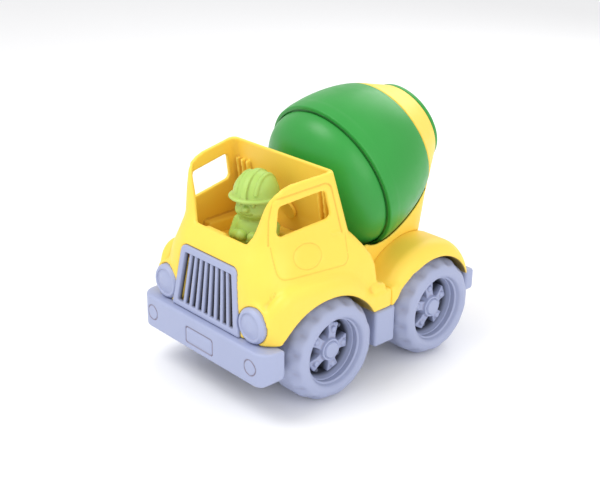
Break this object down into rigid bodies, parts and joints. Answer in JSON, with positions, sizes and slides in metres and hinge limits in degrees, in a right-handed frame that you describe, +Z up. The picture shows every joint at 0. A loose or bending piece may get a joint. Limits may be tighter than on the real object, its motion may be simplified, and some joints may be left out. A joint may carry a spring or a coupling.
{
  "type": "toy cement mixer truck",
  "caption": "Plastic toy cement mixer truck with an open cab, a lift-out driver, a tilted spinning drum in a rear collar and free-rolling chunky wheels.",
  "frame": {"origin": "centre of the bounding box at floor level, under the middle of the truck", "axes": "+Z up, the cab faces -Y and x = 0 is the plane of symmetry of the bodywork; node names ending in right are on the +X side, which is right as seen by someone facing the front of the truck"},
  "size_m": [0.1324, 0.196, 0.1771],
  "materials": {
    "yellow_plastic": "satin moulded plastic",
    "green_plastic": "satin moulded plastic",
    "grey_plastic": "satin moulded plastic, lavender grey",
    "tyre_plastic": "satin moulded plastic, lavender grey",
    "axle_plastic": "smooth plastic rod",
    "driver_plastic": "satin moulded plastic, light green"
  },
  "bodies": {
    "truck": {"cab_shell": "yellow_plastic", "cab_floor": "yellow_plastic", "rear_body": "yellow_plastic", "drum_support": "yellow_plastic", "chassis_frame": "grey_plastic", "front_bumper": "grey_plastic", "radiator_grille": "grey_plastic", "headlight_left": "grey_plastic", "headlight_right": "grey_plastic", "body_pegs": "grey_plastic", "drum_pivot_pin": "yellow_plastic"},
    "front_wheels": {"front_axle": "axle_plastic", "tyre_front_left": "tyre_plastic", "tyre_front_right": "tyre_plastic", "wheel_hub_front_left": "grey_plastic", "wheel_hub_front_right": "grey_plastic", "hub_cap_front_left": "grey_plastic", "hub_cap_front_right": "grey_plastic"},
    "rear_wheels": {"rear_axle": "axle_plastic", "tyre_rear_left": "tyre_plastic", "tyre_rear_right": "tyre_plastic", "wheel_hub_rear_left": "grey_plastic", "wheel_hub_rear_right": "grey_plastic", "hub_cap_rear_left": "grey_plastic", "hub_cap_rear_right": "grey_plastic"},
    "drum": {"drum_rear_shell": "green_plastic", "drum_front_shell": "green_plastic", "drum_mouth_ring": "green_plastic"},
    "driver": {"driver_figure": "driver_plastic"}
  },
  "joints": [
    {"name": "front_axle_roll", "type": "hinge", "parent": "truck", "child": "front_wheels", "pos_m": [0, -0.041, 0.034], "axis": [1, 0, 0], "continuous": true},
    {"name": "rear_axle_roll", "type": "hinge", "parent": "truck", "child": "rear_wheels", "pos_m": [0, 0.053, 0.034], "axis": [1, 0, 0], "continuous": true},
    {"name": "drum_spin", "type": "hinge", "parent": "truck", "child": "drum", "pos_m": [0, 0.0116, 0.1185], "axis": [0, 0.9421, 0.3355], "continuous": true},
    {"name": "driver_lift", "type": "slide", "parent": "truck", "child": "driver", "axis": [0, 0, 1], "range_m": [0, 0.07]}
  ]
}
